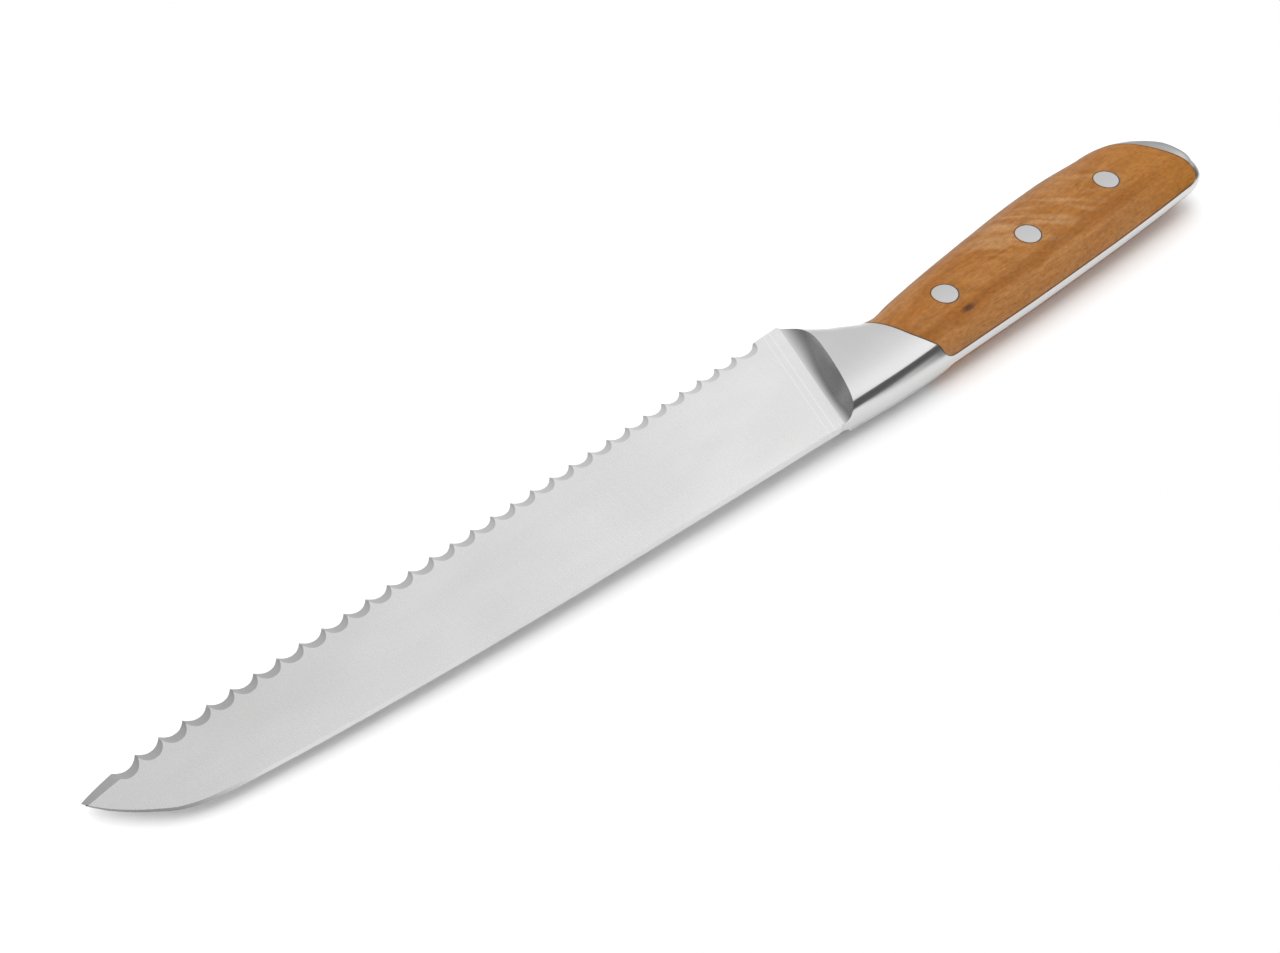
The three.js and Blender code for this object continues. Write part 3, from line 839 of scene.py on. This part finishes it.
def handle_wood():
    s = Shader("handle_wood", Roughness=0.5, Specular_IOR_Level=0.25)
    x, y = s.axis("X"), s.axis("Y")
    # The grain runs along the handle and wanders a little across it.
    wander = s.noise((60, 30, 30), seed=5.2, detail=1)
    bend = s.math("MULTIPLY", s.math("SUBTRACT", wander, 0.5), 9.0)
    grain = s.joined(x, s.math("ADD", y, bend), s.axis("Z"))
    fibres = s.noise((7, 0.26, 0.35), seed=4.4, detail=4, rough=0.7, where=grain)
    pores = s.noise((1.6, 0.24, 0.3), seed=9.0, detail=1, where=grain)
    mottle = s.noise((1.7, 1.1, 1.1), seed=3.3, detail=2)

    colour = wood_figure_and_painted_light(s, x, y, wander, grain)
    # One small dark knot, long in the grain.
    ragged = s.math("MULTIPLY_ADD", fibres, 0.5, from_centre(s, KNOT, (0.34, 0.95)))
    colour = s.mix(s.step(ragged, 1.45, 0.45, 0.0, 0.9), colour, WOOD_KNOT)
    shade_ = s.math("MULTIPLY", s.step(fibres, 0.25, 0.75, 0.80, 1.16),
                    s.step(pores, 0.28, 0.38, 0.66, 1.0))
    shade_ = s.math("MULTIPLY", shade_, s.step(mottle, 0.3, 0.7, 0.90, 1.10))
    colour = s.mix(1.0, colour, shade_, "MULTIPLY")
    # Glue and painted shade in the gaps darken the wood along the joints and round the rivet heads.
    colour = s.mix(glue_and_gap_shade(s), colour, WOOD_GLUE_AND_SHADE)
    roughness = s.step(fibres, 0.2, 0.8, 0.42, 0.56)
    s.bump(s.math("MULTIPLY_ADD", pores, 0.6, fibres), 0.012)
    return s.finish(Base_Color=colour, Roughness=roughness)


# ---- pieces ---------------------------------------------------------------------------------
def add_piece(piece, node):
    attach(piece, "root")
    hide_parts(node)


def seam_distance(piece):
    """Stores each vertex's distance in mm to the nearest joint with the steel."""
    mesh = piece.data
    points = np.array([v.co for v in mesh.vertices]) / MM - SHIFT
    base = TANG_HALF + BOND_GAP
    gaps = [min(x - front_joint(y), rear_joint(y) - x, abs(z) - base + JOINT_GAP) - JOINT_GAP
            for x, y, z in points]
    mesh.attributes.new("seam", "FLOAT", "POINT").data.foreach_set("value", gaps)


def vertices_of(piece):
    return [v.co for v in piece.data.vertices]


def body_normals(body):
    """Normals of the bolster and handle, without the two ends."""
    return Smooth(vertices_of(body), [tuple(f.vertices) for f in body.data.polygons][:-2])


def ramp_normals(ramps):
    """Normals of the concave faces of the ramp cutters, without their flat sides."""
    points = np.concatenate([np.array(vertices_of(r)) for r in ramps])
    per, profile = len(vertices_of(ramps[0])), RAMP_STEPS + 4
    faces = [tuple(v + k * per for v in f.vertices) for k, r in enumerate(ramps)
             for f in r.data.polygons
             if all(2 <= v % profile < profile - 1 for v in f.vertices) and len(f.vertices) == 4]
    return Smooth(points, faces)


def bevel_normals(patches):
    """Normals of the scallops' bevels, from the back edge up to the front face."""
    lifted = [[((*e, -face_height(*e)), (*g, face_height(*g))) for e, g in patch]
              for patch in patches]
    return Smooth(*strips(lifted), lean_x=BEVEL_LEAN)


def spine_normals():
    """Normals of the back of the blade."""
    spine = [((x, y, -face_height(x, y)), (x, y, face_height(x, y))) for x, y in spine_stations()]
    return Smooth(*strips([spine]))


def hole(name, centre):
    return turned(f"hole_{name}", [
        (0, -OUTSIDE), (HOLE_RADIUS, -OUTSIDE), (HOLE_RADIUS, OUTSIDE), (0, OUTSIDE)],
        centre, "inside")


def seat(name, side, centre):
    """The recess in a scale for one rivet head."""
    return turned(f"seat_{name}_{side}", [
        (0, side * (HEAD_SEAT - FIT)), (HEAD_RADIUS + FIT, side * (HEAD_SEAT - FIT)),
        (HEAD_RADIUS + FIT, side * OUTSIDE), (0, side * OUTSIDE)], centre, "inside")


def add_forging(body, blade, ramps, pockets, holes, smooth):
    steel, tang = bolster_steel(), spine_steel()
    forging = copy_of(body, "forged_blade")
    combine(forging, "DIFFERENCE", [*ramps, *pockets])
    combine(forging, "UNION", [blade])
    combine(forging, "DIFFERENCE", holes)
    triangulate(forging)
    shade(forging, {"body": steel, "ramp": ramp_steel(), "face": blade_steel(),
                    "spine": back_steel(), "bevel": bevel_steel(), "pocket": tang,
                    "inside": tang}, smooth)
    add_piece(forging, "blade_forging")


def add_scale(body, word, space, holes, seats, wood, smooth):
    scale = copy_of(body, f"wood_scale_{word}")
    combine(scale, "INTERSECT", [space])
    combine(scale, "DIFFERENCE", [*holes, *seats])
    shade(scale, {"body": wood, "inside": wood}, smooth)
    seam_distance(scale)
    add_piece(scale, f"scale_{word}")


def add_bond(body, word, slab, holes, resin):
    film = copy_of(body, f"glue_{word}")
    combine(film, "INTERSECT", [slab])
    combine(film, "DIFFERENCE", holes)
    shade(film, {"body": resin, "bond": resin, "inside": resin}, {})
    add_piece(film, f"bond_{word}")


def add_rivet(body, name, centre, steel, smooth):
    """A hollow barrel from the right and a pin from the left, both ground to the handle."""
    female = turned(f"rivet_{name}_barrel", [
        (0, BORE_END), (BORE_RADIUS, BORE_END), (BORE_RADIUS, BARREL_END),
        (BARREL_RADIUS, BARREL_END), (BARREL_RADIUS, HEAD_SEAT), (HEAD_RADIUS, HEAD_SEAT),
        (HEAD_RADIUS, OUTSIDE), (0, OUTSIDE)], centre, "turned")
    male = turned(f"rivet_{name}_pin", [
        (0, -OUTSIDE), (HEAD_RADIUS, -OUTSIDE), (HEAD_RADIUS, -HEAD_SEAT),
        (PIN_RADIUS, -HEAD_SEAT), (PIN_RADIUS, PIN_END), (0, PIN_END)], centre, "turned")
    for half, kind in ((female, "female"), (male, "male")):
        combine(half, "INTERSECT", [body])
        shade(half, {"body": steel, "turned": steel}, smooth)
        add_piece(half, f"rivet_{name}_{kind}")


def build_pieces():
    body = loft("body", handle_rings(), "body")
    ramps = [ramp_cutter(1), ramp_cutter(-1)]
    patches = edge_patches()
    blade = blade_solid(patches)
    smooth = {"body": body_normals(body), "ramp": ramp_normals(ramps), "face": BladeFace(),
              "bevel": bevel_normals(patches), "spine": spine_normals()}

    pockets = {side: pocket_tool(side, 0, 0, "pocket") for side in (1, -1)}
    spaces = {side: pocket_tool(side, JOINT_GAP, BOND_GAP, "inside") for side in (1, -1)}
    slabs = {side: bond_slab(side) for side in (1, -1)}
    holes = [hole(name, centre) for name, centre in RIVETS.items()]
    seats = {side: [seat(name, side, centre) for name, centre in RIVETS.items()]
             for side in (1, -1)}

    add_forging(body, blade, ramps, pockets.values(), holes, smooth)
    wood, resin, rivet = handle_wood(), bond_resin(), rivet_steel()
    for side, word in ((1, "right"), (-1, "left")):
        add_scale(body, word, spaces[side], holes, seats[side], wood, smooth)
        add_bond(body, word, slabs[side], holes, resin)
    for name, centre in RIVETS.items():
        add_rivet(body, name, centre, rivet, smooth)

    for tool in [body, *ramps, blade, *pockets.values(), *spaces.values(), *slabs.values(),
                 *holes, *seats[1], *seats[-1]]:
        bpy.data.objects.remove(tool)


# ---- stage, light and camera ------------------------------------------------------------------
REST_TIP = (-110, -4.0)         # X and Z of the floor under the tip, which it clears
REST_HANDLE_X = 133             # the handle touches the floor here
FLOOR_CLEARANCE = 0.05
FLOOR_X = (-190, 300)           # a sheet little larger than the knife
FLOOR_Y = (-105, 26)


def make_floor():
    """A pale floor under the handle's lowest point, sloping so that it just clears the tip."""
    bottom = -crown(REST_HANDLE_X)
    slope = (REST_TIP[1] - bottom) / (REST_HANDLE_X - REST_TIP[0])
    level = bottom - FLOOR_CLEARANCE + slope * REST_HANDLE_X
    (x0, x1), (y0, y1) = FLOOR_X, FLOOR_Y
    corners = [(x, y, level - slope * x) for x, y in ((x0, y0), (x1, y0), (x1, y1), (x0, y1))]
    mesh = bpy.data.meshes.new("floor")
    mesh.from_pydata([tuple(p) for p in place(corners)], [], [(0, 1, 2, 3)])
    floor = bpy.data.objects.new("floor", mesh)
    bpy.context.scene.collection.objects.link(floor)
    s = Shader("floor_paper", Roughness=0.9, Specular_IOR_Level=0.0)
    tone = s.noise((120, 120, 120), detail=2)
    colour = s.mix(tone, (0.93, 0.93, 0.93, 1), (0.95, 0.95, 0.95, 1))
    mesh.materials.append(s.finish(Base_Color=colour))


SKY_LEVEL = 0.80
SKY_RISE = (0.60, -0.37, 0.06)   # the surroundings brighten to the right and overhead
SKY_RIGHT_EDGE = (0.66, 0.84)   # beyond this X the light box ends
SKY_RIGHT_SHARE = 0.4           # and this share of its light is left
SKY_NEAR_EDGE = (-0.34, -0.14)  # and towards the viewer it ends at this Y
SKY_HOT_EDGE = (0.00, 0.32)     # just before that edge it is brightest
SKY_HOT = 0.32
SKY_CARD_EDGE = (-0.72, -0.56)  # a pale card stands far to the left
SKY_CARD = 0.5
SKY_DARK = 0.12


def make_world():
    """Soft studio surroundings: a light box overhead and behind, dark towards the viewer."""
    world = bpy.data.worlds.new("studio")
    bpy.context.scene.world = world
    world.use_nodes = True
    n = Nodes(world.node_tree)
    where = n.add("ShaderNodeTexCoord").outputs["Generated"]
    away = n.vector("DOT_PRODUCT", where, (0, 1, 0))
    right = n.vector("DOT_PRODUCT", where, (1, 0, 0))
    sky = n.math("ADD", n.vector("DOT_PRODUCT", where, SKY_RISE), SKY_LEVEL)
    sky = n.math("ADD", sky, n.step(away, *SKY_HOT_EDGE, SKY_HOT, 0.0))
    sky = n.math("MULTIPLY", sky, n.step(right, *SKY_RIGHT_EDGE, 1.0, SKY_RIGHT_SHARE))
    sky = n.math("ADD", sky, n.step(right, *SKY_CARD_EDGE, SKY_CARD, 0.0))
    sky = n.math("MULTIPLY", sky, n.step(away, *SKY_NEAR_EDGE, 0.0, 1.0))

    background, pale = n.tree.nodes["Background"], n.add("ShaderNodeBackground")
    for part in (background, pale):
        part.inputs["Color"].default_value = (1, 1, 1, 1)
    n.plug(background.inputs["Strength"], n.math("MAXIMUM", sky, SKY_DARK))
    # The camera itself sees a plain white background.
    both = n.add("ShaderNodeMixShader")
    n.plug(both.inputs[0], n.add("ShaderNodeLightPath").outputs["Is Camera Ray"])
    n.plug(both.inputs[1], background.outputs[0])
    n.plug(both.inputs[2], pale.outputs[0])
    n.plug(n.tree.nodes["World Output"].inputs["Surface"], both.outputs[0])


# Strength, angle across in degrees, and the way the light travels.
KEY_LIGHT = (1.4, 80, (0.30, -0.45, -0.9))
FILL_LIGHT = (1.45, 110, (-0.15, 0.65, -0.75))


def soft_light(name, strength, spread, towards):
    """A broad soft light that the steel doesn't mirror."""
    light = bpy.data.lights.new(name, "SUN")
    light.energy = strength
    light.angle = math.radians(spread)
    lamp = bpy.data.objects.new(name, light)
    lamp.rotation_euler = Vector(towards).to_track_quat("-Z", "Y").to_euler()
    lamp.visible_glossy = False
    bpy.context.scene.collection.objects.link(lamp)


def make_lights():
    soft_light("key", *KEY_LIGHT)
    soft_light("fill", *FILL_LIGHT)


CAMERA_AT = (-166.24, -248.09, 348.70)
CAMERA_LOOKS_AT = (46.54, -15.54, -0.40)
CAMERA_ROLL = -0.18
CAMERA_LENS = 51.72


def make_camera():
    data = bpy.data.cameras.new("camera")
    data.lens, data.sensor_width = CAMERA_LENS, 36
    data.clip_start, data.clip_end = 0.01, 50
    camera = bpy.data.objects.new("camera", data)
    eye, target = Vector(place(CAMERA_AT)), Vector(place(CAMERA_LOOKS_AT))
    turn = (target - eye).to_track_quat("-Z", "Y").to_matrix()
    camera.matrix_world = Matrix.Translation(eye) @ (
        turn @ Matrix.Rotation(math.radians(CAMERA_ROLL), 3, "Z")).to_4x4()
    bpy.context.scene.collection.objects.link(camera)
    bpy.context.scene.camera = camera


make_camera()
build_pieces()
make_floor()
make_world()
make_lights()
bpy.context.scene.view_settings.view_transform = "Standard"
